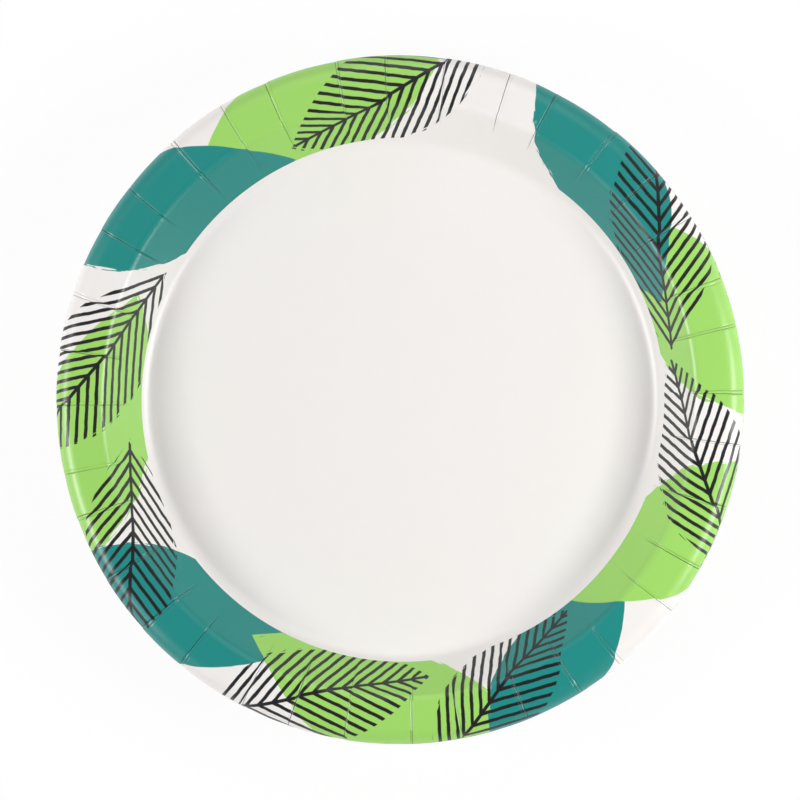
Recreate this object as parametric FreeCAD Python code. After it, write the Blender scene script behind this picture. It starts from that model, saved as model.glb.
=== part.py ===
import FreeCAD, Part
import math
import os

# A nested stack of round paper plates, in millimetres, +Z up.
# Each plate is one sheet of coated board pressed into a dish: a flat floor, a gentle sweep up
# to a tight heel, a straight sloping wall, a rounded shoulder, a nearly level brim and a
# turned-down lip. The board that is spare around the rim is gathered into radial pleats.
# The origin is on the stack's axis, at the level of the surface that the bottom plate stands on.

# Sizes of one plate, measured on its upper face
PLATE_DIAMETER = 256.0
WELL_DEPTH = 18.5        # from the floor up to the crest of the brim
BOARD_THICKNESS = 0.45

SWEEP_RADIUS = 112.0     # the floor's gentle rise towards the heel
SWEEP_ANGLE = 8.0
HEEL_RADIUS = 7.2        # concave bend from the floor to the wall
WALL_ANGLE = 50.0        # above the horizontal
SHOULDER_RADIUS = 6.4    # convex bend from the wall to the brim
BRIM_WIDTH = 10.8        # straight part of the brim
BRIM_FALL_ANGLE = 3.0    # the brim falls slightly outwards
LIP_RADIUS = 3.2         # convex bend from the brim to the lip
LIP_ANGLE = 60.0         # below the horizontal
LIP_LENGTH = 2.8         # straight part of the lip

# Pleats: where the spare board is gathered, it is pressed thinner from both faces
PLEAT_COUNT = 36
PLEAT_INSET = 4.0        # up the wall from its foot to where the pleats begin
PLEAT_WIDTH = 0.9        # at the plate's edge
PLEAT_DEPTH = 0.11       # below each face
PLEAT_WANDER = 1.1       # degrees by which a pleat strays from even spacing

# The stack
PLATE_COUNT = 12
NEST_GAP = 0.30          # clear space between two plates, square to their steepest slope
TURN_RANGE = 2.6         # degrees either way that a plate is turned
SHIFT_RANGE = 0.10       # how far a plate lies off the stack's axis

GOLDEN_ANGLE = 137.508   # steps that never repeat, for uneven but fixed turns and shifts

FULL_TURN = 360.0
ORIGIN = FreeCAD.Vector(0, 0, 0)
UPWARDS = FreeCAD.Vector(0, 0, 1)


def section_moves():
    """The straight runs and bends of the upper face, from the floor's centre to the edge.

    A run is ("line", length) and a bend is ("bend", radius, angle), where a positive angle
    turns upwards. The wall is two runs, because only its upper run is pleated.
    """
    sweep = math.radians(SWEEP_ANGLE)
    wall = math.radians(WALL_ANGLE)
    fall = math.radians(BRIM_FALL_ANGLE)
    lip = math.radians(LIP_ANGLE)

    sweep_run = SWEEP_RADIUS * math.sin(sweep)
    sweep_rise = SWEEP_RADIUS * (1 - math.cos(sweep))
    heel_run = HEEL_RADIUS * (math.sin(wall) - math.sin(sweep))
    heel_rise = HEEL_RADIUS * (math.cos(sweep) - math.cos(wall))
    shoulder_run = SHOULDER_RADIUS * (math.sin(wall) + math.sin(fall))
    shoulder_rise = SHOULDER_RADIUS * (1 - math.cos(wall))
    wall_rise = WELL_DEPTH - sweep_rise - heel_rise - shoulder_rise
    wall_run = wall_rise / math.tan(wall)
    brim_run = BRIM_WIDTH * math.cos(fall)
    lip_run = LIP_RADIUS * (math.sin(lip) - math.sin(fall)) + LIP_LENGTH * math.cos(lip)

    rim_run = heel_run + wall_run + shoulder_run + brim_run + lip_run
    floor_radius = PLATE_DIAMETER / 2 - sweep_run - rim_run
    return [
        ("line", floor_radius),
        ("bend", SWEEP_RADIUS, SWEEP_ANGLE),
        ("bend", HEEL_RADIUS, WALL_ANGLE - SWEEP_ANGLE),
        ("line", PLEAT_INSET),
        ("line", wall_rise / math.sin(wall) - PLEAT_INSET),
        ("bend", SHOULDER_RADIUS, -(WALL_ANGLE + BRIM_FALL_ANGLE)),
        ("line", BRIM_WIDTH),
        ("bend", LIP_RADIUS, BRIM_FALL_ANGLE - LIP_ANGLE),
        ("line", LIP_LENGTH),
    ]


FIRST_PLEATED = 4        # the first pleated run's place in that list


def face_edges(depth):
    """The edges of a face that lies this deep below the upper face, in order, in the XZ plane."""
    x, z, heading = 0.0, BOARD_THICKNESS, 0.0
    edges = []

    def below(px, pz, angle):
        return FreeCAD.Vector(px + depth * math.sin(angle), 0, pz - depth * math.cos(angle))

    for move in section_moves():
        first = below(x, z, heading)
        if move[0] == "line":
            x += move[1] * math.cos(heading)
            z += move[1] * math.sin(heading)
            edges.append(straight(first, below(x, z, heading)))
            continue
        radius, turn = move[1], math.radians(move[2])
        side = math.copysign(1.0, turn)
        centre_x = x - side * radius * math.sin(heading)
        centre_z = z + side * radius * math.cos(heading)

        def on_bend(angle):
            px = centre_x + side * radius * math.sin(angle)
            pz = centre_z - side * radius * math.cos(angle)
            return px, pz

        middle = below(*on_bend(heading + turn / 2), heading + turn / 2)
        heading += turn
        x, z = on_bend(heading)
        edges.append(Part.Arc(first, middle, below(x, z, heading)).toShape())
    return edges


def straight(first, last):
    """A straight edge between two points."""
    return Part.LineSegment(first, last).toShape()


def turned(shape, angle):
    """A copy of a shape, turned about the plate's axis by an angle in degrees."""
    copy = shape.copy()
    copy.rotate(ORIGIN, UPWARDS, angle)
    return copy


def swept(edges, start, end):
    """The faces that edges sweep out around the plate's axis, from one angle to another."""
    return [turned(edge, start).revolve(ORIGIN, UPWARDS, end - start) for edge in edges]


def rim_section():
    """The pleated part of the section: what a plain stretch shows, what a pleat shows, and the
    flat sides of the steps between the two."""
    plain_top = face_edges(0.0)[FIRST_PLEATED:]
    plain_bottom = face_edges(BOARD_THICKNESS)[FIRST_PLEATED:]
    pleat_top = face_edges(PLEAT_DEPTH)[FIRST_PLEATED:]
    pleat_bottom = face_edges(BOARD_THICKNESS - PLEAT_DEPTH)[FIRST_PLEATED:]

    def foot(edges, other_edges):
        return straight(edges[0].Vertexes[0].Point, other_edges[0].Vertexes[0].Point)

    def end(edges, other_edges):
        return straight(edges[-1].Vertexes[-1].Point, other_edges[-1].Vertexes[-1].Point)

    feet = [foot(plain_top, pleat_top), foot(plain_bottom, pleat_bottom)]
    ends = [end(plain_top, pleat_top), end(plain_bottom, pleat_bottom)]
    pleat_end = end(pleat_top, pleat_bottom)
    sides = [
        Part.Face(Part.Wire(Part.__sortEdges__(plain + [foot_edge, end_edge] + pleat)))
        for plain, pleat, foot_edge, end_edge in zip(
            (plain_top, plain_bottom), (pleat_top, pleat_bottom), feet, ends)
    ]
    plain_edges = plain_top + plain_bottom + ends + [pleat_end]
    pleat_edges = pleat_top + pleat_bottom + feet + [pleat_end]
    return plain_edges, pleat_edges, sides


def pleat_angle(index):
    """Where the middle of a pleat lies around the plate, in degrees."""
    even = index * FULL_TURN / PLEAT_COUNT
    return even + PLEAT_WANDER * math.sin(math.radians(index % PLEAT_COUNT * GOLDEN_ANGLE))


def pressed_plate():
    """One plate: a dish with no pleats out to the wall, then pleats and plain stretches in turn."""
    dish_edges = face_edges(0.0)[:FIRST_PLEATED] + face_edges(BOARD_THICKNESS)[:FIRST_PLEATED]
    plain_edges, pleat_edges, sides = rim_section()
    half_pleat = math.degrees(PLEAT_WIDTH / PLATE_DIAMETER)

    faces = swept(dish_edges, 0.0, FULL_TURN)
    for index in range(PLEAT_COUNT):
        start = pleat_angle(index) - half_pleat
        end = pleat_angle(index) + half_pleat
        faces += swept(pleat_edges, start, end)
        faces += swept(plain_edges, end, pleat_angle(index + 1) - half_pleat)
        faces += [turned(side, angle) for side in sides for angle in (start, end)]

    skin = Part.makeCompound(faces)
    skin.sewShape()
    plate = Part.Solid(skin.Shells[0])
    if plate.Volume < 0:
        plate.reverse()
    return plate


def stack():
    """Every plate of the stack by name, from the bottom up, each nested in the one below."""
    steepest = math.radians(max(WALL_ANGLE, LIP_ANGLE))
    pitch = (BOARD_THICKNESS + NEST_GAP) / math.cos(steepest)
    plate = pressed_plate()
    placed = {}
    for index in range(PLATE_COUNT):
        wander = math.radians(index * GOLDEN_ANGLE)
        copy = turned(plate, TURN_RANGE * math.sin(2 * wander))
        shift = FreeCAD.Vector(math.cos(wander), math.sin(wander), 0) * SHIFT_RANGE
        copy.translate(shift + UPWARDS * index * pitch)
        placed[f"plate_{index + 1:02d}"] = copy
    return placed


def main():
    """Writes one STEP file for each plate."""
    os.makedirs("parts", exist_ok=True)
    for name, shape in stack().items():
        shape.exportStep(f"parts/{name}.step")
        print(name, "valid", shape.isValid(), "solids", len(shape.Solids), "mm3", round(shape.Volume, 1))


main()
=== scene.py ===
"""A nested stack of printed paper plates, lit softly from above on a pale floor.

Each plate is one sheet of coated board. It is printed flat as a round blank, scored around its
rim and pressed into a dish, which gathers the spare board of the rim into radial pleats. The
meshes follow that: every point of a plate knows its place on the flat blank, and the print is
drawn there, so it breaks at the pleats and bends with the board.
"""

from __future__ import annotations

import logging
import math
from dataclasses import dataclass
from enum import Enum, IntEnum
from typing import Any

import bpy
import numpy as np
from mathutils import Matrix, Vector

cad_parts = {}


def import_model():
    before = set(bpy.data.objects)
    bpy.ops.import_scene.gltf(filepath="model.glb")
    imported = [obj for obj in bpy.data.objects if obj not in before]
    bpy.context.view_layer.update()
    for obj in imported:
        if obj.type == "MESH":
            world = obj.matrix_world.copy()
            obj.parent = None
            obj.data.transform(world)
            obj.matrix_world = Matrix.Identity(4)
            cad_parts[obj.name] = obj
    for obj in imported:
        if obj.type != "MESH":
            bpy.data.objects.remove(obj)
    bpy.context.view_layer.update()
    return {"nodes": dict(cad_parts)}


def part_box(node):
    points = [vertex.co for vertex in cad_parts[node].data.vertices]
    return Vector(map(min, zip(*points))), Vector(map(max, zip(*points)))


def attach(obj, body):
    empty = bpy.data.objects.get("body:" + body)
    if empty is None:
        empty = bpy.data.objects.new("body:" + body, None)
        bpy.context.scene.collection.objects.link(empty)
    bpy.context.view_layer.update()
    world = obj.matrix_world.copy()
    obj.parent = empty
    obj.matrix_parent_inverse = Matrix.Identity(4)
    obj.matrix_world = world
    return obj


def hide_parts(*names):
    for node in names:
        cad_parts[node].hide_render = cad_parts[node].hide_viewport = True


LOG = logging.getLogger("paper_plates")
MM = 0.001

GOLDEN_ANGLE = math.radians(137.508)  # steps that never repeat, for uneven but fixed turns
TURN_RANGE = math.radians(2.6)        # either way that a plate is turned in the stack
FIRST_SEED = 31                       # of the bottom plate's pleats, and one more for each plate


def linear(hex_colour: str) -> tuple[float, float, float, float]:
    """Turns an sRGB hex colour into the linear numbers that the shaders take.

    Args:
        hex_colour: six hex digits, such as "F4F2EE".

    Returns:
        Red, green, blue and an alpha of 1.
    """
    parts = [int(hex_colour[i:i + 2], 16) / 255 for i in (0, 2, 4)]
    curve = [c / 12.92 if c <= 0.04045 else ((c + 0.055) / 1.055) ** 2.4 for c in parts]
    return (*curve, 1.0)


def ease(value: np.ndarray, start: float | np.ndarray, end: float | np.ndarray) -> np.ndarray:
    """A smooth rise from 0 at start to 1 at end.

    Args:
        value: where to read the rise.
        start: where it leaves 0.
        end: where it reaches 1.

    Returns:
        The rise at each value.
    """
    t = np.clip((value - start) / (end - start), 0.0, 1.0)
    return t * t * (3 - 2 * t)


# The section of a plate


class Part(IntEnum):
    """The runs and bends of the section, from the centre out."""

    FLOOR = 0
    SWEEP = 1
    HEEL = 2
    WALL = 3
    SHOULDER = 4
    BRIM = 5
    LIP_BEND = 6
    LIP = 7


@dataclass(frozen=True)
class Move:
    """One straight run or bend of the section.

    Attributes:
        length: along the surface, in mm.
        turn: how far the surface turns upwards over that length, in radians.
    """

    length: float
    turn: float = 0.0


@dataclass(frozen=True)
class Rows:
    """Points along the food side of the section, each as one row of a plate's mesh, in mm.

    Attributes:
        reach: distance from the centre along the surface, which is the radius on the flat blank.
        radius: distance from the plate's axis.
        height: above the surface that the plate stands on.
        slope: angle of the surface, in radians.
    """

    reach: np.ndarray
    radius: np.ndarray
    height: np.ndarray
    slope: np.ndarray


@dataclass(frozen=True)
class Section:
    """The shape of the food side from centre to edge, in mm and degrees.

    Attributes:
        plate_radius: out to the edge.
        depth: from the floor up to the crest of the brim.
        board: thickness of the board.
        sweep_radius: of the floor's gentle rise towards the heel.
        sweep_angle: that the floor has risen to at the heel.
        heel_radius: of the bend from the floor to the wall.
        wall_angle: above the horizontal.
        shoulder_radius: of the bend from the wall to the brim.
        brim_width: of the straight part of the brim.
        brim_fall: angle by which the brim falls outwards.
        lip_radius: of the bend from the brim to the lip.
        lip_angle: of the lip, below the horizontal.
        lip_length: of the straight part of the lip.
    """

    plate_radius: float
    depth: float
    board: float = 0.45
    sweep_radius: float = 112.0
    sweep_angle: float = 8.0
    heel_radius: float = 7.2
    wall_angle: float = 47.75
    shoulder_radius: float = 4.6
    brim_width: float = 8.54
    brim_fall: float = 3.0
    lip_radius: float = 7.4
    lip_angle: float = 62.0
    lip_length: float = 0.25

    def moves(self) -> list[Move]:
        """Works out the runs and bends.

        Returns:
            One move for each part of the section, in order.
        """
        sweep, wall = math.radians(self.sweep_angle), math.radians(self.wall_angle)
        fall, lip = math.radians(self.brim_fall), math.radians(self.lip_angle)
        wall_rise = self.depth - self.sweep_radius * (1 - math.cos(sweep))
        wall_rise -= self.heel_radius * (math.cos(sweep) - math.cos(wall))
        wall_rise -= self.shoulder_radius * (1 - math.cos(wall))
        formed = [
            Move(self.sweep_radius * sweep, sweep),
            Move(self.heel_radius * (wall - sweep), wall - sweep),
            Move(wall_rise / math.sin(wall)),
            Move(self.shoulder_radius * (wall + fall), -(wall + fall)),
            Move(self.brim_width),
            Move(self.lip_radius * (lip - fall), fall - lip),
            Move(self.lip_length),
        ]
        x, z, angle = 0.0, 0.0, 0.0
        for move in formed:
            x, z, angle = self._along(move, 1.0, x, z, angle)
        return [Move(self.plate_radius - x), *formed]

    @staticmethod
    def _along(move: Move, share: float, x: float, z: float, angle: float) -> tuple[float, float, float]:
        """Where a share of a move leads to, from a point and a heading.

        Args:
            move: the run or bend.
            share: from 0 to 1.
            x: radius at its start.
            z: height at its start.
            angle: slope at its start.

        Returns:
            The new radius, height and slope.
        """
        if move.turn == 0.0:
            length = move.length * share
            return x + length * math.cos(angle), z + length * math.sin(angle), angle
        bend = move.length / move.turn
        ahead = angle + move.turn * share
        x += bend * (math.sin(ahead) - math.sin(angle))
        z += bend * (math.cos(angle) - math.cos(ahead))
        return x, z, ahead

    def reach_at(self, part: Part) -> float:
        """The distance along the surface from the centre to the start of a part."""
        return sum(move.length for move in self.moves()[:part])

    @property
    def foot(self) -> float:
        """Reach of the wall's foot."""
        return self.reach_at(Part.WALL)

    @property
    def crest(self) -> float:
        """Reach of the brim's inner side."""
        return self.reach_at(Part.BRIM)

    @property
    def edge(self) -> float:
        """Reach of the plate's edge, which is the radius of the flat blank."""
        return sum(move.length for move in self.moves())

    def rows(self, steps: tuple[int, ...]) -> Rows:
        """Points along the food side.

        Args:
            steps: how many rows each part of the section takes.

        Returns:
            The rows, from just off the centre to the edge.
        """
        reach, x, z, angle = 0.0, 0.0, self.board, 0.0
        found = []
        for move, count in zip(self.moves(), steps):
            for step in range(1, count + 1):
                share = step / count
                found.append((reach + move.length * share, *self._along(move, share, x, z, angle)))
            x, z, angle = self._along(move, 1.0, x, z, angle)
            reach += move.length
        columns = np.array(found).T
        return Rows(*columns)


# The pleats


@dataclass(frozen=True)
class Column:
    """One line of mesh points beside the crease that a pleat ends in.

    Attributes:
        grooves: how far it lies from the crease's middle, away from the pleat, in half-widths
            of the crease.
        dip: how deep the crease is there, as a share of its depth.
        line: how much painted shade shows there, for the shade in the crease's narrow gap.
    """

    grooves: float
    dip: float
    line: float


# The last number of each column is painted shade along the crease.
CREASE_COLUMNS = (
    Column(-1.0, -0.12, 0.0),
    Column(-0.5, 0.5, 0.7),
    Column(0.0, 1.0, 1.0),
    Column(0.5, 0.5, 0.7),
    Column(1.0, -0.06, 0.0),
    Column(3.2, 0.0, 0.0),
)


@dataclass(frozen=True)
class Pleats:
    """The pleats of one plate: each is a narrow strip of gathered board between two creases.

    Attributes:
        count: around the plate.
        wander: degrees by which a pleat strays from even spacing.
        groove: half-width of a crease, in mm.
        widths: least and greatest half-width of a pleat at the edge, in mm.
        inner_widths: the same where a pleat begins, in mm.
        narrowest: least distance of a crease's points from the pleat's middle, in mm.
        starts: least and greatest distance up the wall to a pleat's inner end, in mm.
        deepening: over which a crease grows to its full depth, in mm.
        skew: how far a pleat may lean sideways over its length, in mm.
        strong: least and greatest depth of a pleat's main crease, in mm.
        faint: least and greatest depth of its other crease, in mm.
        ridge: how far the strip between the creases stands out, as a share of their depths.
        lifts: least and greatest height by which a stretch between pleats stands proud at the
            edge, in mm.
        crest_lift: share of that height which the stretch has at the brim's inner side.
        swell: how far such a stretch bulges in its middle, in mm.
        fading: how much of a crease's painted shade is left where the pleat begins.
        seed: of the pleats' unevenness.
    """

    count: int = 36
    wander: float = 1.1
    groove: float = 0.22
    widths: tuple[float, float] = (0.24, 0.85)
    inner_widths: tuple[float, float] = (0.2, 0.6)
    narrowest: float = 0.01
    starts: tuple[float, float] = (3.5, 12.5)
    deepening: float = 7.0
    skew: float = 1.5
    strong: tuple[float, float] = (0.13, 0.24)
    faint: tuple[float, float] = (0.02, 0.13)
    ridge: float = 0.2
    lifts: tuple[float, float] = (-0.06, 0.06)
    crest_lift: float = 0.4
    swell: float = 0.05
    fading: float = 0.4
    seed: int = 7

    def angles(self) -> np.ndarray:
        """The middle of each pleat around the plate, in radians."""
        index = np.arange(self.count)
        return 2 * np.pi * index / self.count + math.radians(self.wander) * np.sin(index * GOLDEN_ANGLE)


@dataclass(frozen=True)
class Lattice:
    """Where each mesh point of one face lies, by row and column.

    Attributes:
        angle: around the plate, in radians.
        blank_angle: around the flat blank, in radians.
        lift: of both faces above the plain section, in mm.
        press: how far a face stands out of the board, below 0 in a crease, in mm.
        line: how much painted shade lies along a crease, from 0 to 1.
    """

    angle: np.ndarray
    blank_angle: np.ndarray
    lift: np.ndarray
    press: np.ndarray
    line: np.ndarray


class Gathering:
    """Works out how the pleats move the points of a plate's mesh."""

    def __init__(self, section: Section, pleats: Pleats, panel_columns: int) -> None:
        """Draws the unevenness of each pleat.

        Args:
            section: the plate's section.
            pleats: the plate's pleats.
            panel_columns: columns of points in each plain stretch between two pleats.
        """
        self.section = section
        self.pleats = pleats
        self.panel_columns = panel_columns
        rng = np.random.default_rng(pleats.seed)
        count = pleats.count
        self.middle = pleats.angles()
        self.edge_width = rng.uniform(*pleats.widths, count)
        self.inner_width = rng.uniform(*pleats.inner_widths, count)
        self.start = section.foot + rng.uniform(*pleats.starts, count)
        self.skew = rng.uniform(-pleats.skew, pleats.skew, count)
        main = rng.uniform(*pleats.strong, count)
        other = rng.uniform(*pleats.faint, count)
        swapped = rng.random(count) < 0.5
        self.depth = {1: np.where(swapped, other, main), -1: np.where(swapped, main, other)}
        self.panel_ends = rng.uniform(*pleats.lifts, (2, count))
        self.wrap = np.zeros((1, count))  # a full turn for the pleat after the last one
        self.wrap[0, -1] = 2 * np.pi

    @property
    def columns(self) -> int:
        """How many columns of points go round the plate."""
        return self.pleats.count * (1 + 2 * len(CREASE_COLUMNS) + self.panel_columns)

    def lattice(self, rows: Rows) -> Lattice:
        """Places the points of a face.

        Args:
            rows: the rows of the section.

        Returns:
            Their places, one row of the arrays for each row of the section.
        """
        reach, radius = rows.reach[:, None], rows.radius[:, None]
        section, pleats = self.section, self.pleats
        formed = ease(rows.reach, section.foot, section.crest)[:, None]
        along = np.clip((reach - section.foot) / (section.edge - section.foot), 0.0, 1.0)
        middle = self.middle[None, :] + self.skew[None, :] * (along - 0.5) * formed / radius
        grown = np.clip((reach - self.start) / (section.edge - self.start), 0.0, 1.0)
        width = self.inner_width + (self.edge_width - self.inner_width) * grown
        shown = ease(reach, self.start, self.start + pleats.deepening)
        none = np.zeros_like(shown)
        # how strongly the painted crease shade shows, fainter where a pleat begins
        shade_strength = (pleats.fading + (1 - pleats.fading) * grown) / pleats.strong[1]
        beyond_crest = ease(rows.reach, section.crest, section.edge)[:, None]
        raised = pleats.crest_lift * formed + (1 - pleats.crest_lift) * beyond_crest
        gathered = radius / reach

        following = np.roll(middle, -1, 1) + self.wrap
        centre = (middle + following) / 2
        before_centre = np.concatenate([centre[:, -1:] - 2 * np.pi, centre[:, :-1]], axis=1)
        left_edge = before_centre + (middle - width / radius - before_centre) * gathered
        right_edge = centre + (middle + width / radius - centre) * gathered
        left_lift = np.roll(self.panel_ends[1], 1)[None, :] * raised
        right_lift = self.panel_ends[0][None, :] * raised
        far_lift = self.panel_ends[1][None, :] * raised

        def crease(column: Column, side: int) -> tuple[np.ndarray, ...]:
            """Places one column of points at the creases.

            Args:
                column: the column's place and depth.
                side: 1 at the crease after each pleat, or -1 at the one before the next pleat.

            Returns:
                The column's angle, its angle on the blank, its lift, its press and its painted crease shade.
            """
            offset = np.maximum(width + column.grooves * pleats.groove, pleats.narrowest)
            depth = self.depth[side][None, :] * shown
            # painted shade along the crease, as deep as the crease
            line = column.line * depth * shade_strength
            near, low, high, lift, origin = width, left_edge, right_edge, right_lift, middle
            if side < 0:
                offset, depth, line = (np.roll(part, -1, 1) for part in (offset, depth, line))
                near, lift, origin = np.roll(width, -1, 1), far_lift, following
                low, high = np.roll(left_edge, -1, 1) + self.wrap, np.roll(right_edge, -1, 1) + self.wrap
            angle = origin + side * offset / radius
            on_blank = centre + (angle - centre) * gathered
            if column.grooves < 0:
                on_blank = low + (high - low) * (0.5 + side * offset / near / 2)
            return angle, on_blank, lift, -column.dip * depth, line

        ridge = pleats.ridge * (self.depth[1] + self.depth[-1])[None, :] * shown
        found = [(middle, (left_edge + right_edge) / 2, (left_lift + right_lift) / 2, ridge, none)]
        found += [crease(column, 1) for column in CREASE_COLUMNS]
        clear = CREASE_COLUMNS[-1].grooves * pleats.groove
        first = middle + (width + clear) / radius
        last = following - (np.roll(width, -1, 1) + clear) / radius
        for step in range(self.panel_columns):
            share = (step + 1) / (self.panel_columns + 1)
            angle = first + (last - first) * share
            swell = pleats.swell * 4 * share * (1 - share) * formed
            lift = right_lift + (far_lift - right_lift) * share + swell
            found.append((angle, centre + (angle - centre) * gathered, lift, none, none))
        found += [crease(column, -1) for column in reversed(CREASE_COLUMNS)]

        shape = (len(rows.reach), self.columns)
        angle, on_blank, lift, press, line = (
            np.stack(np.broadcast_arrays(*part), axis=2).reshape(shape) for part in zip(*found))
        even = np.arange(self.columns)[None, :] * 2 * np.pi / self.columns
        settled = ease(rows.reach, section.reach_at(Part.SWEEP), section.foot)[:, None]
        angle = even + (angle - even) * settled
        on_blank = even + (on_blank - even) * settled
        return Lattice(angle, on_blank, lift, press, line)


# The plates


@dataclass(frozen=True)
class Detail:
    """How finely one plate's mesh is divided.

    Attributes:
        food_side: rows for each part of the section, on the food side.
        underside: the same, on the underside.
        panel_columns: columns in each stretch between two pleats.
        lifts: least and greatest height by which such a stretch stands proud, in mm.
        even_map: true if both faces take equal circles of the plate's finished map, because
            the underside shows, and false if the food side takes all that it can.
    """

    food_side: tuple[int, ...]
    underside: tuple[int, ...]
    panel_columns: int
    lifts: tuple[float, float] = Pleats.lifts
    even_map: bool = False


class Place(Enum):
    """Where a plate lies in the stack, which settles what of it can be seen."""

    TOP = Detail((4, 8, 12, 11, 14, 9, 10, 4), (1, 3, 5, 4, 6, 3, 5, 3), 6, (-0.04, 0.34))
    INNER = Detail((1, 1, 2, 1, 4, 3, 7, 3), (1, 1, 2, 1, 3, 1, 3, 2), 4)
    BOTTOM = Detail((1, 2, 3, 2, 5, 3, 7, 3), (3, 8, 12, 11, 10, 6, 8, 4), 5, even_map=True)


@dataclass(frozen=True)
class Sway:
    """Slow waves in the rim, which all the plates share because they lie in each other.

    Attributes:
        heights: of each wave at the edge, in mm.
        turns: how often each wave goes up and down around the plate.
        phases: where each wave begins, in radians.
    """

    heights: tuple[float, ...] = (0.22, 0.12, 0.07)
    turns: tuple[int, ...] = (2, 3, 5)
    phases: tuple[float, ...] = (0.7, 2.9, 1.6)

    def at(self, angle: np.ndarray) -> np.ndarray:
        """The height of the waves at angles around the stack, in mm."""
        waves = zip(self.heights, self.turns, self.phases)
        return sum(height * np.sin(turns * angle + phase) for height, turns, phase in waves)


class Plate:
    """One plate: a dished, pleated sheet with a food side, a cut edge and an underside."""

    EDGE_STEPS = (0.06, 0.3, 0.7, 0.94)  # rows across the cut edge, as shares of the board
    EDGE_BULGE = 0.035                   # mm
    UNDER_PRESS = -0.6                   # a crease on the underside, over that on the food side
    MAP_MARGIN = 1.0                     # mm kept clear around each face in the plate's map

    def __init__(self, node: str, index: int, place: Place) -> None:
        """Takes the plate's place and size from the frame.

        Args:
            node: the CAD node that the plate replaces.
            index: counted from the bottom plate, which is 0.
            place: where it lies in the stack.
        """
        low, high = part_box(node)
        self.node = node
        self.detail: Detail = place.value
        self.centre = (low + high) / 2
        self.base = low.z
        width, height = (high.x - low.x) / MM, (high.z - low.z) / MM
        self.section = Section(plate_radius=width / 2, depth=height - Section.board)
        self.turn = TURN_RANGE * math.sin(2 * index * GOLDEN_ANGLE)
        pleats = Pleats(lifts=self.detail.lifts, seed=FIRST_SEED + index)
        self.gathering = Gathering(self.section, pleats, self.detail.panel_columns)

    def _face(self, steps: tuple[int, ...], below: float, press: float) -> tuple[np.ndarray, ...]:
        """The points of one face.

        Args:
            steps: rows for each part of the section.
            below: how far the face lies below the food side, in mm.
            press: how deep its creases are, over those of the food side, and below 0 where
                they are pressed up into the board.

        Returns:
            The points in metres, their places on the flat blank in mm, and how much painted crease shade lies
            at each.
        """
        rows = self.section.rows(steps)
        lattice = self.gathering.lattice(rows)
        angle = lattice.angle + self.turn
        sway = Sway().at(angle) * ease(rows.reach, self.section.foot, self.section.edge)[:, None]
        off = lattice.lift + press * lattice.press - below
        slope = rows.slope[:, None]
        radius = rows.radius[:, None] - np.sin(slope) * off
        height = rows.height[:, None] + np.cos(slope) * off + sway
        points = np.stack([radius * np.cos(angle), radius * np.sin(angle), height], axis=2) * MM
        points += np.array([self.centre.x, self.centre.y, self.base])
        blank_angle, reach = lattice.blank_angle, rows.reach[:, None]
        blank = np.stack([reach * np.cos(blank_angle), reach * np.sin(blank_angle)], axis=2)
        return points, blank, lattice.line

    def _edge(self, top: np.ndarray, bottom: np.ndarray) -> np.ndarray:
        """Rows of points across the cut edge, which bulges slightly between its two corners.

        Args:
            top: the food side's last row.
            bottom: the underside's last row.

        Returns:
            The rows, from the food side down.
        """
        lip = math.radians(self.section.lip_angle)
        outward = top - np.array([self.centre.x, self.centre.y, 0.0])
        outward[:, 2] = 0.0
        outward /= np.linalg.norm(outward, axis=1)[:, None]
        outward = outward * math.cos(lip) - np.array([0.0, 0.0, math.sin(lip)])
        rows = []
        for share in self.EDGE_STEPS:
            bulge = self.EDGE_BULGE * MM * (1 - (2 * share - 1) ** 4)
            rows.append(top + (bottom - top) * share + outward * bulge)
        return np.array(rows)

    def _faces(self, food_rows: int, rows: int) -> tuple[list[Any], np.ndarray]:
        """Joins the rows of points, and closes the middle of both sides with a fan.

        Args:
            food_rows: how many rows the food side has.
            rows: how many rows there are in all.

        Returns:
            The faces, and for each of them 1 on the bare board or 0 on the food side.
        """
        columns = self.gathering.columns
        index = np.arange(rows * columns).reshape(rows, columns)
        inner, outer = index[:-1], index[1:]
        quads = np.stack([inner, outer, np.roll(outer, -1, 1), np.roll(inner, -1, 1)], axis=2)
        crown, sole = rows * columns, rows * columns + 1
        top_fan = [(crown, int(a), int(b)) for a, b in zip(index[0], np.roll(index[0], -1))]
        sole_fan = [(sole, int(b), int(a)) for a, b in zip(index[-1], np.roll(index[-1], -1))]
        faces = quads.reshape(-1, 4).tolist() + top_fan + sole_fan
        bare = np.zeros(len(faces), dtype=np.int32)
        bare[(food_rows - 1) * columns:(rows - 1) * columns] = 1
        bare[-columns:] = 1
        return faces, bare

    def build(self, finishes: list[bpy.types.Material]) -> bpy.types.Object:
        """Makes the plate's mesh and dresses it.

        Args:
            finishes: the printed food side's, and the bare board's.

        Returns:
            The plate, riding on the stack and standing for its CAD node.
        """
        top, top_blank, top_shade = self._face(self.detail.food_side, 0.0, 1.0)
        under, under_blank, under_shade = self._face(
            self.detail.underside, self.section.board, self.UNDER_PRESS)
        edge = self._edge(top[-1], under[-1])
        edge_blank = np.repeat(top_blank[-1:], len(edge), axis=0)
        edge_shade = np.zeros((len(edge), self.gathering.columns))
        rows = np.concatenate([top, edge, under[::-1]])
        blank = np.concatenate([top_blank, edge_blank, under_blank[::-1]])
        # painted crease shade of every row
        line = np.concatenate([top_shade, edge_shade, under_shade[::-1]])
        sole = np.array([self.centre.x, self.centre.y, self.base])
        crown = sole + np.array([0.0, 0.0, self.section.board * MM])
        points = np.concatenate([rows.reshape(-1, 3), [crown, sole]])
        faces, bare = self._faces(len(top), len(rows))

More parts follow.
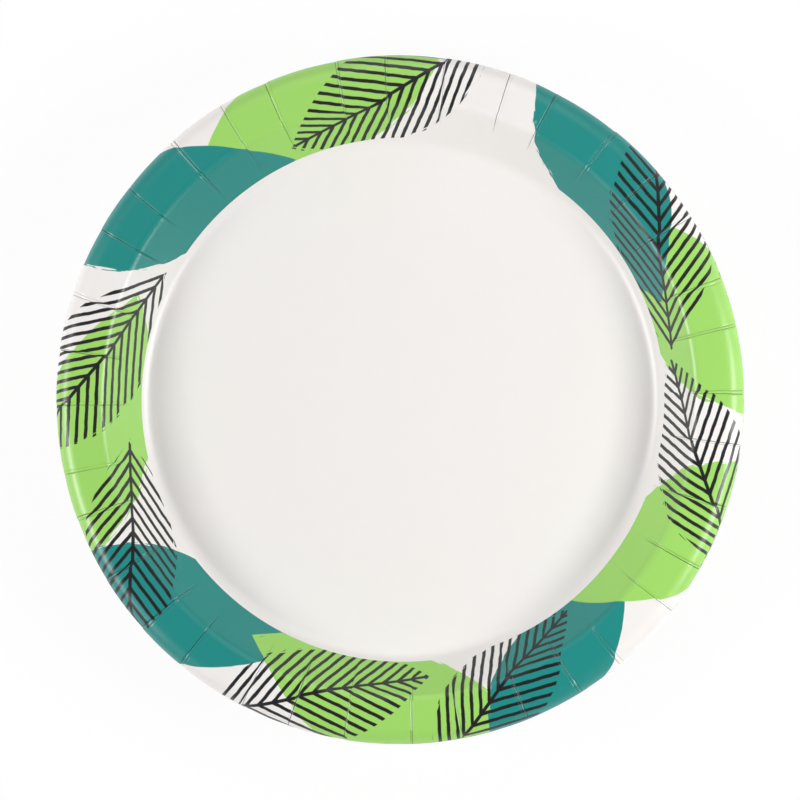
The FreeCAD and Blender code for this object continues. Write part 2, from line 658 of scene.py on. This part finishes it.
        mesh = bpy.data.meshes.new(self.node + "_board")
        mesh.from_pydata(points.tolist(), [], faces)
        mesh.polygons.foreach_set("material_index", bare)
        mesh.polygons.foreach_set("use_smooth", np.ones(len(faces), dtype=bool))
        for finish in finishes:
            mesh.materials.append(finish)
        places = np.zeros((len(points), 3), dtype=np.float32)
        places[:line.size, :2] = blank.reshape(-1, 2)
        mesh.attributes.new("blank", "FLOAT_VECTOR", "POINT").data.foreach_set("vector", places.ravel())
        # painted crease shade, kept on the mesh for the finishes
        shade_strength = np.zeros(len(points), dtype=np.float32)
        shade_strength[:line.size] = line.ravel()
        mesh.attributes.new("crease", "FLOAT", "POINT").data.foreach_set("value", shade_strength)
        self._lay_out_map(mesh, points, bare)
        mesh.update()

        plate = bpy.data.objects.new(self.node + "_printed", mesh)
        bpy.context.scene.collection.objects.link(plate)
        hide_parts(self.node)
        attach(plate, "root")
        return plate

    def _lay_out_map(self, mesh: bpy.types.Mesh, points: np.ndarray, bare: np.ndarray) -> None:
        """Lays both faces of the plate out flat in its map, seen from above, in two circles.

        Args:
            mesh: the plate's mesh.
            points: its vertices.
            bare: for each face, 1 on the bare board and 0 on the food side.
        """
        corner = math.sqrt(0.5)
        food, under = 0.5, (1 - corner) / (2 + 2 * corner)
        if self.detail.even_map:
            food = under = corner / (2 + 2 * corner)
        reach = (self.section.plate_radius + self.MAP_MARGIN) * MM
        flat = (points[:, :2] - np.array([self.centre.x, self.centre.y])) / reach
        counts = np.array([len(polygon.vertices) for polygon in mesh.polygons])
        corners = np.zeros(len(mesh.loops), dtype=np.int32)
        mesh.loops.foreach_get("vertex_index", corners)
        is_bare = np.repeat(bare, counts)[:, None].astype(bool)
        food_places = 1 - food + flat[corners] * food
        under_places = under + flat[corners] * under
        places = np.where(is_bare, under_places, food_places).astype(np.float32)
        mesh.uv_layers.new(name="OFBake").data.foreach_set("uv", places.ravel())


# The finishes

MIX_SHARE, MIX_FIRST, MIX_SECOND = 0, 6, 7  # a Mix node's inputs, where it mixes colours
MIXED = 2                                   # and its output


def add_node(tree: bpy.types.NodeTree, kind: str, inputs: tuple[Any, ...] | dict[Any, Any] = (),
             **settings: Any) -> bpy.types.NodeOutputs:
    """Adds a node with its settings and what feeds its sockets.

    Args:
        tree: the node tree.
        kind: the node's type after "ShaderNode", such as "Math".
        inputs: outputs to link or values to set, for the first sockets in order, or for the
            sockets that a dictionary gives by name or number.
        **settings: the node's own properties.

    Returns:
        The node's outputs.
    """
    node = tree.nodes.new("ShaderNode" + kind)
    for name, value in settings.items():
        setattr(node, name, value)
    by_socket = inputs if isinstance(inputs, dict) else dict(enumerate(inputs))
    for socket, value in by_socket.items():
        if isinstance(value, bpy.types.NodeSocket):
            tree.links.new(value, node.inputs[socket])
        else:
            node.inputs[socket].default_value = value
    return node.outputs


def start_material(name: str) -> tuple[bpy.types.Material, bpy.types.Node]:
    """Starts a material with a plain Principled shader.

    Args:
        name: of the real finish.

    Returns:
        The material and its shader.
    """
    made = bpy.data.materials.new(name)
    made.use_nodes = True
    return made, made.node_tree.nodes["Principled BSDF"]


class Ink(Enum):
    """The printing inks, as they look on the white coating."""

    GREEN = "A0DA66"
    TEAL = "0A8A84"
    NAVY = "08060F"


@dataclass(frozen=True)
class Leaf:
    """One printed leaf, in mm and degrees on the flat blank.

    Attributes:
        around: where its middle lies around the plate, counterclockwise from the right.
        reach: how far its middle lies from the plate's centre.
        heading: how far its long axis is turned from running round the rim.
        length: from tip to tip.
        width: across its middle.
        ink: its colour.
        veined: true if only its veins are printed.
    """

    around: float
    reach: float
    heading: float
    length: float
    width: float
    ink: Ink
    veined: bool = False


LEAVES = (
    Leaf(14, 121, 32, 122, 50, Ink.GREEN),
    Leaf(47, 120, -27, 112, 46, Ink.TEAL),
    Leaf(103, 122, 24, 132, 54, Ink.GREEN),
    Leaf(139, 119, -34, 106, 45, Ink.TEAL),
    Leaf(186, 122, -25, 120, 50, Ink.GREEN),
    Leaf(221, 120, 34, 112, 46, Ink.TEAL),
    Leaf(268, 122, -28, 130, 54, Ink.GREEN),
    Leaf(300, 118, 30, 100, 42, Ink.TEAL),
    Leaf(333, 121, -38, 104, 45, Ink.GREEN),
    Leaf(31, 121, -30, 92, 42, Ink.NAVY, True),
    Leaf(90, 121, 30, 92, 42, Ink.NAVY, True),
    Leaf(172, 121, -34, 90, 42, Ink.NAVY, True),
    Leaf(207, 121, -30, 84, 38, Ink.NAVY, True),
    Leaf(252, 121, 28, 92, 42, Ink.NAVY, True),
    Leaf(287, 121, 36, 84, 38, Ink.NAVY, True),
    Leaf(346, 121, 32, 88, 40, Ink.NAVY, True),
)


@dataclass(frozen=True)
class PrintedBoard:
    """Paperboard with a clay coating, offset printed around the rim and varnished.

    The pressed varnish gives a satin gloss: soft, bright reflections over plain, even ink.
    """

    board: str = "F5F1EE"
    cloud: str = "F2EEEB"
    cloud_share: float = 0.5       # the most that the board's clouds show
    # painted shade: the colour multiplied in along each crease, for the shade in its narrow gap
    crease: str = "303030"
    roughness: float = 0.42
    specular: float = 0.35         # the board's own, weak because the varnish lies on it
    varnish: float = 0.9
    varnish_roughness: float = 0.37
    mottle: float = 0.03           # range of the roughness
    mottle_size: float = 8.0       # mm, clouds in the varnish
    grain_size: float = 0.8        # mm, drawn coarser than fibres so that it shows
    grain_height: float = 0.00015  # mm
    flow_size: float = 22.0        # mm, slow unevenness left by the press
    flow_height: float = 0.11      # mm
    print_start: float = 98.9      # mm from the blank's centre
    print_offset: float = 1.0      # mm that the printing is out of register
    vein_pitch: float = 3.4        # mm
    vein_width: float = 1.3        # mm
    vein_angle: float = 38.0       # degrees between a vein and the leaf's long axis
    brush_width: float = 0.9       # mm across a bristle's mark at a leaf's rough side
    brush_length: float = 9.0      # mm along it
    brush_reach: float = 4.5       # mm that the marks run in from the leaf's outline
    smooth_side: float = 0.12      # share of that reach on a leaf's other side
    waver: float = 0.16            # share of their pitch by which veins waver
    waver_size: float = 5.0        # mm
    soft_edge: float = 0.09        # mm over which an ink ends

    def material(self) -> bpy.types.Material:
        """Makes the material.

        Returns:
            The material.
        """
        made, shader = start_material("Varnished offset-printed paperboard")
        tree = made.node_tree
        blank = add_node(tree, "Attribute", attribute_name="blank")["Vector"]
        # how much painted crease shade lies at each point
        crease = add_node(tree, "Attribute", attribute_name="crease")["Fac"]
        mottle, grain, flow = (
            add_node(tree, "TexNoise", {"Vector": blank, "Scale": 1 / size, "Detail": detail},
                     noise_dimensions="2D")[0]
            for size, detail in ((self.mottle_size, 2.0), (self.grain_size, 2.0), (self.flow_size, 1.0)))

        clouded = add_node(tree, "Math", (mottle, self.cloud_share), operation="MULTIPLY")[0]
        colours = {MIX_SHARE: clouded, MIX_FIRST: linear(self.board), MIX_SECOND: linear(self.cloud)}
        colour = add_node(tree, "Mix", colours, data_type="RGBA")[MIXED]
        for mask, ink in self._prints(tree, blank):
            inked = {MIX_SHARE: mask, MIX_FIRST: colour, MIX_SECOND: linear(ink.value)}
            colour = add_node(tree, "Mix", inked, data_type="RGBA")[MIXED]
        # painted shade: the print darkened along the creases
        crease_shaded = {MIX_SHARE: crease, MIX_FIRST: colour, MIX_SECOND: linear(self.crease)}
        colour = add_node(tree, "Mix", crease_shaded, data_type="RGBA", blend_type="MULTIPLY")[MIXED]
        tree.links.new(colour, shader.inputs["Base Color"])
        shader.inputs["Specular IOR Level"].default_value = self.specular
        shader.inputs["Coat Weight"].default_value = self.varnish
        shader.inputs["Coat Roughness"].default_value = self.varnish_roughness

        least = self.roughness - self.mottle / 2
        rough = add_node(tree, "Math", (mottle, self.mottle, least), operation="MULTIPLY_ADD")[0]
        tree.links.new(rough, shader.inputs["Roughness"])
        height = add_node(tree, "Math", (grain, self.grain_height * MM), operation="MULTIPLY")[0]
        height = add_node(tree, "Math", (flow, self.flow_height * MM, height), operation="MULTIPLY_ADD")[0]
        bump = add_node(tree, "Bump", {"Height": height, "Distance": 1.0, "Strength": 1.0})
        tree.links.new(bump["Normal"], shader.inputs["Normal"])
        return made

    def _prints(self, tree: bpy.types.NodeTree,
                blank: bpy.types.NodeSocket) -> list[tuple[bpy.types.NodeSocket, Ink]]:
        """Where each leaf is printed.

        Args:
            tree: the material's tree.
            blank: the point on the blank.

        Returns:
            For each leaf in printing order, how much of its ink lies at the point, and the ink.
        """
        moved = add_node(tree, "VectorMath", (blank, (-self.print_offset, 0, 0)), operation="ADD")[0]
        radius = add_node(tree, "VectorMath", (moved,), operation="LENGTH")["Value"]
        to_print = add_node(tree, "Math", (self.print_start, radius), operation="SUBTRACT")[0]
        printed = self._cover(tree, to_print)
        cloud = add_node(tree, "TexNoise", {"Vector": moved, "Scale": 1 / self.waver_size, "Detail": 2.0},
                         noise_dimensions="2D")[0]
        waver = add_node(tree, "Math", (cloud, 0.5), operation="SUBTRACT")[0]
        outline = self._leaf_outline()
        prints = []
        for leaf in LEAVES:
            shade = self._leaf(tree, outline, leaf, moved, waver)
            prints.append((add_node(tree, "Math", (shade, printed), operation="MULTIPLY")[0], leaf.ink))
        return prints

    def _cover(self, tree: bpy.types.NodeTree, distance: bpy.types.NodeSocket) -> bpy.types.NodeSocket:
        """1 where a signed distance in mm is well below 0, and 0 where it is above."""
        return add_node(tree, "MapRange", (distance, self.soft_edge, -self.soft_edge, 0.0, 1.0))[0]

    @staticmethod
    def _leaf_outline() -> bpy.types.NodeTree:
        """A group that gives a leaf's outline as a signed distance, and the place within it.

        The outline is two like arcs that meet at the tips. With a half-length L and a half-width
        W, each arc's radius is (L * L + W * W) / (2 * W).

        Returns:
            The group.
        """
        group = bpy.data.node_groups.new("leaf_outline", "ShaderNodeTree")
        for name in ("Place", "Middle"):
            group.interface.new_socket(name, in_out="INPUT", socket_type="NodeSocketVector")
        for name in ("Heading", "Half length", "Half width"):
            group.interface.new_socket(name, in_out="INPUT", socket_type="NodeSocketFloat")
        for name in ("Distance", "Along", "Across"):
            group.interface.new_socket(name, in_out="OUTPUT", socket_type="NodeSocketFloat")
        given = group.nodes.new("NodeGroupInput").outputs
        half_length, half_width = given["Half length"], given["Half width"]
        off = add_node(group, "VectorMath", (given["Place"], given["Middle"]), operation="SUBTRACT")[0]
        back = add_node(group, "Math", (given["Heading"], -1.0), operation="MULTIPLY")[0]
        turned = add_node(group, "VectorRotate", {"Vector": off, "Angle": back}, rotation_type="Z_AXIS")[0]
        along, across, _ = add_node(group, "SeparateXYZ", (turned,))
        long_squared = add_node(group, "Math", (half_length, 2.0), operation="POWER")[0]
        wide_squared = add_node(group, "Math", (half_width, 2.0), operation="POWER")[0]
        squares = add_node(group, "Math", (long_squared, wide_squared), operation="ADD")[0]
        twice = add_node(group, "Math", (half_width, 2.0), operation="MULTIPLY")[0]
        arc = add_node(group, "Math", (squares, twice), operation="DIVIDE")[0]
        set_back = add_node(group, "Math", (arc, half_width), operation="SUBTRACT")[0]
        to_side = add_node(group, "Math", (across,), operation="ABSOLUTE")[0]
        lifted = add_node(group, "Math", (to_side, set_back), operation="ADD")[0]
        from_arc = add_node(group, "CombineXYZ", (along, lifted))[0]
        length = add_node(group, "VectorMath", (from_arc,), operation="LENGTH")["Value"]
        distance = add_node(group, "Math", (length, arc), operation="SUBTRACT")[0]
        results = group.nodes.new("NodeGroupOutput").inputs
        for name, result in (("Distance", distance), ("Along", along), ("Across", across)):
            group.links.new(result, results[name])
        return group

    def _leaf(self, tree: bpy.types.NodeTree, outline: bpy.types.NodeTree, leaf: Leaf,
              place: bpy.types.NodeSocket, waver: bpy.types.NodeSocket) -> bpy.types.NodeSocket:
        """How much of a leaf's ink lies at each point.

        Args:
            tree: the material's tree.
            outline: the leaf outline's group.
            leaf: the leaf.
            place: the point on the blank.
            waver: how far the veins stray there, from -0.5 to 0.5.

        Returns:
            A socket, from 0 to 1.
        """
        around = math.radians(leaf.around)
        found = add_node(tree, "Group", {
            "Place": place,
            "Middle": (leaf.reach * math.cos(around), leaf.reach * math.sin(around), 0.0),
            "Heading": around + math.pi / 2 + math.radians(leaf.heading),
            "Half length": leaf.length / 2,
            "Half width": leaf.width / 2,
        }, node_tree=outline)
        distance, along, across = found["Distance"], found["Along"], found["Across"]

        run = add_node(tree, "Math", (along, 1 / self.brush_length, leaf.around), operation="MULTIPLY_ADD")[0]
        rise = add_node(tree, "Math", (distance, self.brush_width), operation="DIVIDE")[0]
        bristles = add_node(tree, "CombineXYZ", (run, rise))[0]
        brush = add_node(tree, "TexNoise", {"Vector": bristles, "Scale": 1.0, "Detail": 2.0},
                         noise_dimensions="2D")[0]
        marks = add_node(tree, "Math", (brush, 0.5), operation="SUBTRACT")[0]
        marks = add_node(tree, "Math", (marks, self.brush_reach), operation="MULTIPLY")[0]
        side = add_node(tree, "Math", (across,), operation="SIGN")[0]
        one_side = add_node(tree, "Math", (side, self.smooth_side), operation="MAXIMUM")[0]
        distance = add_node(tree, "Math", (marks, one_side, distance), operation="MULTIPLY_ADD")[0]
        whole = self._cover(tree, distance)
        if not leaf.veined:
            return whole

        slant = math.radians(self.vein_angle)
        out = add_node(tree, "Math", (across,), operation="ABSOLUTE")[0]
        run = add_node(tree, "Math", (along, math.sin(slant) / self.vein_pitch), operation="MULTIPLY")[0]
        back = -math.cos(slant) / self.vein_pitch
        run = add_node(tree, "Math", (out, back, run), operation="MULTIPLY_ADD")[0]
        run = add_node(tree, "Math", (waver, self.waver, run), operation="MULTIPLY_ADD")[0]
        from_vein = add_node(tree, "Math", (run, 0.5), operation="PINGPONG")[0]
        half_line = self.vein_width / self.vein_pitch / 2
        veins = add_node(tree, "Math", (from_vein, half_line), operation="SUBTRACT")[0]
        veins = add_node(tree, "Math", (veins, self.vein_pitch), operation="MULTIPLY")[0]
        rib = add_node(tree, "Math", (out, self.vein_width / 2), operation="SUBTRACT")[0]
        lines = add_node(tree, "Math", (veins, rib), operation="MINIMUM")[0]
        return add_node(tree, "Math", (self._cover(tree, lines), whole), operation="MULTIPLY")[0]


@dataclass(frozen=True)
class BareBoard:
    """Uncoated paperboard, as it left the board machine: matt, warm white and faintly fibrous."""

    board: str = "EAE6DE"
    fibre: str = "D6CFC2"
    # painted shade: the colour mixed in along each crease, for the shade in its narrow gap
    crease: str = "6E675C"
    crease_shade_share: float = 0.5      # how much painted shade shows along a crease without ink
    roughness: float = 0.82
    roughness_range: float = 0.12
    fibre_size: float = 0.8        # mm, drawn coarser than real fibres so that they show
    fibre_height: float = 0.012    # mm
    fibre_least: float = 0.1       # how strongly fibres show between the clouds
    cloud_size: float = 9.0        # mm, clouds from the sheet's formation
    cloud_share: float = 0.9       # how much more strongly they show in a cloud

    def material(self) -> bpy.types.Material:
        """Makes the material.

        Returns:
            The material.
        """
        made, shader = start_material("Uncoated paperboard")
        tree = made.node_tree
        blank = add_node(tree, "Attribute", attribute_name="blank")["Vector"]
        crease = add_node(tree, "Attribute", attribute_name="crease")["Fac"]
        fibre, cloud = (
            add_node(tree, "TexNoise", {"Vector": blank, "Scale": 1 / size, "Detail": detail},
                     noise_dimensions="2D")[0]
            for size, detail in ((self.fibre_size, 4.0), (self.cloud_size, 2.0)))

        strength = (cloud, self.cloud_share, self.fibre_least)
        clouded = add_node(tree, "Math", strength, operation="MULTIPLY_ADD")[0]
        share = add_node(tree, "Math", (fibre, clouded), operation="MULTIPLY")[0]
        colours = {MIX_SHARE: share, MIX_FIRST: linear(self.board), MIX_SECOND: linear(self.fibre)}
        colour = add_node(tree, "Mix", colours, data_type="RGBA")[MIXED]
        # painted shade along the creases
        crease_shaded = add_node(tree, "Math", (crease, self.crease_shade_share), operation="MULTIPLY")[0]
        colours = {MIX_SHARE: crease_shaded, MIX_FIRST: colour, MIX_SECOND: linear(self.crease)}
        colour = add_node(tree, "Mix", colours, data_type="RGBA")[MIXED]
        tree.links.new(colour, shader.inputs["Base Color"])
        rough = (fibre, self.roughness_range, self.roughness - self.roughness_range / 2)
        tree.links.new(add_node(tree, "Math", rough, operation="MULTIPLY_ADD")[0], shader.inputs["Roughness"])
        height = add_node(tree, "Math", (fibre, self.fibre_height * MM), operation="MULTIPLY")[0]
        bump = add_node(tree, "Bump", {"Height": height, "Distance": 1.0, "Strength": 1.0})
        tree.links.new(bump["Normal"], shader.inputs["Normal"])
        return made


class PlateStack:
    """All the plates, from the bottom one up."""

    def __init__(self, nodes: list[str]) -> None:
        """Takes the plates' names.

        Args:
            nodes: the CAD nodes, from the bottom plate up.
        """
        last = len(nodes) - 1
        places = [{0: Place.BOTTOM, last: Place.TOP}.get(i, Place.INNER) for i in range(len(nodes))]
        self.plates = [Plate(node, i, place) for i, (node, place) in enumerate(zip(nodes, places))]

    def build(self) -> None:
        """Makes the finishes and every plate."""
        finishes = [PrintedBoard().material(), BareBoard().material()]
        for plate in self.plates:
            made = plate.build(finishes)
            LOG.info("%s: %d faces", made.name, len(made.data.polygons))


# The studio


@dataclass(frozen=True)
class Lamp:
    """A flat soft lamp that points at the stack.

    Attributes:
        name: what it is.
        around: where it stands around the stack, in degrees counterclockwise from +X.
        lean: how far it stands from straight overhead, in degrees.
        distance: from the stack, in metres.
        size: its height and its width, in metres.
        radiance: its brightness, where a lit white sheet is 1.
    """

    name: str
    around: float
    lean: float
    distance: float
    size: tuple[float, float]
    radiance: float

    def build(self) -> None:
        """Hangs the lamp."""
        data = bpy.data.lights.new(self.name, "AREA")
        data.shape = "RECTANGLE"
        data.size, data.size_y = self.size
        data.energy = self.radiance * math.pi * self.size[0] * self.size[1]
        lamp = bpy.data.objects.new(self.name, data)
        around, lean = math.radians(self.around), math.radians(self.lean)
        side = Vector((math.cos(around), math.sin(around), 0.0)) * math.sin(lean)
        lamp.location = (side + Vector((0.0, 0.0, math.cos(lean)))) * self.distance
        lamp.rotation_euler = (0.0, lean, around)
        lamp.visible_camera = False
        bpy.context.scene.collection.objects.link(lamp)


@dataclass(frozen=True)
class Studio:
    """The floor, the lamps, the world and the camera."""

    floor_size: float = 40.0
    floor_white: float = 0.93      # share of plain white in the floor, over its lit surface
    floor_roughness: float = 0.9
    ceiling: float = 0.1           # brightness of the room overhead
    horizon: float = 0.42          # brightness of the pale walls at the horizon
    dimming: float = 1.15          # how soon it grows dim above the horizon
    camera_distance: float = 3.0
    camera_lean: float = 3.8       # degrees from straight overhead, towards +X
    camera_shift: float = 0.78     # mm towards +X that the camera looks past the rim's middle
    film_width: float = 36.0       # mm
    view_end: float = 100.0        # metres, past the floor's far side
    pixel_mm: float = 0.3716       # mm of the rim that one pixel of the photograph shows
    picture: int = 800             # pixels across the photograph

    LAMPS = (
        Lamp("right_softbox", -10.5, 56.0, 1.1, (0.24, 0.6), 18.7),
        Lamp("left_softbox", 192.0, 56.0, 2.2, (0.48, 1.2), 16.0),
        Lamp("back_fill", 90.0, 45.0, 1.4, (1.0, 1.0), 1.4),
    )

    def build(self, rim: Vector) -> None:
        """Sets everything up.

        Args:
            rim: the middle of the top plate's rim, which the camera looks at.
        """
        for lamp in self.LAMPS:
            lamp.build()
        self._floor()
        self._world()
        self._camera(rim)
        bpy.context.scene.view_settings.view_transform = "Standard"

    def _floor(self) -> None:
        """A floor that lights as plain paint, and that the camera sees almost white."""
        half = self.floor_size / 2
        corners = [(-half, -half, 0), (half, -half, 0), (half, half, 0), (-half, half, 0)]
        mesh = bpy.data.meshes.new("floor")
        mesh.from_pydata(corners, [], [(0, 1, 2, 3)])
        material, shader = start_material("White paint on a studio floor")
        tree = material.node_tree
        shader.inputs["Base Color"].default_value = linear("FFFFFF")
        shader.inputs["Roughness"].default_value = self.floor_roughness
        shader.inputs["Specular IOR Level"].default_value = 0.0
        white = add_node(tree, "Emission", {"Color": (1, 1, 1, 1), "Strength": 1.0})[0]
        rays = add_node(tree, "LightPath")
        seen = rays["Is Camera Ray"]
        for kind in ("Is Glossy Ray", "Is Transmission Ray"):
            seen = add_node(tree, "Math", (seen, rays[kind]), operation="MAXIMUM")[0]
        share = add_node(tree, "Math", (seen, self.floor_white), operation="MULTIPLY")[0]
        mixed = add_node(tree, "MixShader", {0: share, 1: shader.outputs[0], 2: white})[0]
        tree.links.new(mixed, tree.nodes["Material Output"].inputs["Surface"])
        mesh.materials.append(material)
        floor = bpy.data.objects.new("floor", mesh)
        bpy.context.scene.collection.objects.link(floor)

    def _world(self) -> None:
        """A room with pale walls and a dim ceiling, which gives an even, soft fill."""
        world = bpy.data.worlds.new("studio")
        bpy.context.scene.world = world
        world.use_nodes = True
        tree = world.node_tree
        backdrop = tree.nodes["Background"]
        backdrop.inputs["Color"].default_value = (1, 1, 1, 1)
        direction = add_node(tree, "TexCoord")["Generated"]
        up = add_node(tree, "SeparateXYZ", (direction,))[2]
        above = add_node(tree, "Math", (up, 0.0), operation="MAXIMUM")[0]
        level = add_node(tree, "Math", (1.0, above), operation="SUBTRACT")[0]
        pale = add_node(tree, "Math", (level, self.dimming), operation="POWER")[0]
        brightness = (pale, self.horizon - self.ceiling, self.ceiling)
        strength = add_node(tree, "Math", brightness, operation="MULTIPLY_ADD")[0]
        tree.links.new(strength, backdrop.inputs["Strength"])

    def _camera(self, rim: Vector) -> None:
        """A long lens that looks down from almost straight above.

        Args:
            rim: the middle of the top plate's rim.
        """
        data = bpy.data.cameras.new("camera")
        view_width = self.pixel_mm * self.picture * MM
        data.sensor_width = self.film_width
        data.lens = data.sensor_width * self.camera_distance / view_width
        data.clip_end = self.view_end
        camera = bpy.data.objects.new("camera", data)
        lean = math.radians(self.camera_lean)
        away = Vector((math.sin(lean), 0.0, math.cos(lean)))
        target = rim + Vector((self.camera_shift * MM, 0.0, 0.0))
        camera.location = target + away * self.camera_distance
        camera.rotation_euler = (0.0, lean, 0.0)
        bpy.context.scene.collection.objects.link(camera)
        bpy.context.scene.camera = camera


def write_sizes() -> None:
    """Updates the view layer, so that every object's place is current.
    """
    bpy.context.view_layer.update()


def main() -> None:
    """Builds the stack and the studio."""
    logging.basicConfig(level=logging.INFO, format="%(name)s: %(message)s")
    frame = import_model()
    stack = PlateStack(sorted(frame["nodes"]))
    stack.build()
    top = stack.plates[-1]
    rim = Vector((0.0, 0.0, top.base + (top.section.depth + top.section.board) * MM))
    Studio().build(rim)
    write_sizes()


if __name__ == "__main__":
    main()
